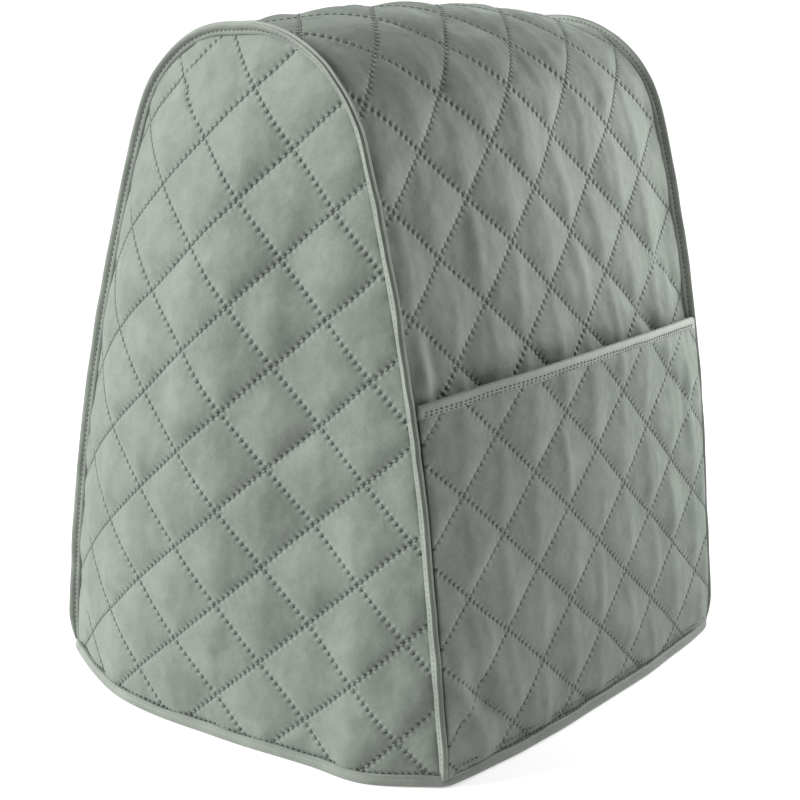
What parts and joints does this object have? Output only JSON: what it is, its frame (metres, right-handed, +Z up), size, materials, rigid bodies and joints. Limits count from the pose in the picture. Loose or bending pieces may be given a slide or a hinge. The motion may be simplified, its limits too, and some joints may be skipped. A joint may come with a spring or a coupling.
{
  "type": "meat slicer cover",
  "caption": "Quilted fitted dust cover with arch-shaped sides, bound seams and hem, and a patch pocket on the front.",
  "frame": {"origin": "middle of the foot, level with the lower edge", "axes": "+Z up, the pocket front faces -Y, the bulged sides face -X and +X"},
  "size_m": [0.3452, 0.2758, 0.3857],
  "materials": {
    "quilted_cloth": "grey green brushed microfibre, quilted in diamonds, soft sheen",
    "binding_tape": "grey green woven tape, folded and stitched"
  },
  "bodies": {
    "root": {"wrap_panel": "quilted_cloth", "side_panel_left": "quilted_cloth", "side_panel_right": "quilted_cloth", "pocket_panel": "quilted_cloth", "pocket_binding": "binding_tape", "seam_binding_left": "binding_tape", "seam_binding_right": "binding_tape", "hem_binding": "binding_tape"}
  },
  "joints": []
}
